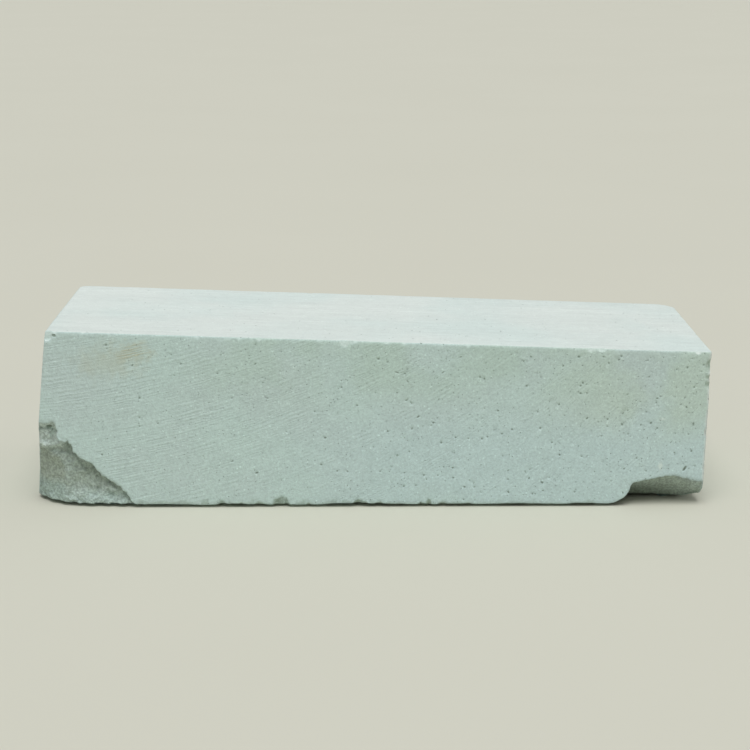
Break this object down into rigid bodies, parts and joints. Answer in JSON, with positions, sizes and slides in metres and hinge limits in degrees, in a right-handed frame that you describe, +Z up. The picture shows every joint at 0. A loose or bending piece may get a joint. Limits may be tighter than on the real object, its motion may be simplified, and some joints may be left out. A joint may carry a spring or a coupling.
{
  "type": "sharpening whetstone",
  "caption": "Bare natural whetstone: a sawn block of pale stone with a flat honing face and broken lower front corners.",
  "frame": {"origin": "middle of the block's outline, on the base", "axes": "+X along the stone from the taller left end to the lower right end, -Y out of the sawn front face that has both broken corners, +Z up out of the base"},
  "size_m": [0.223, 0.075, 0.06],
  "materials": {
    "stone": "fine matt stone, sawn on the sides, honed flat on top, rough where broken"
  },
  "bodies": {
    "root": {"stone": "stone"}
  },
  "joints": []
}
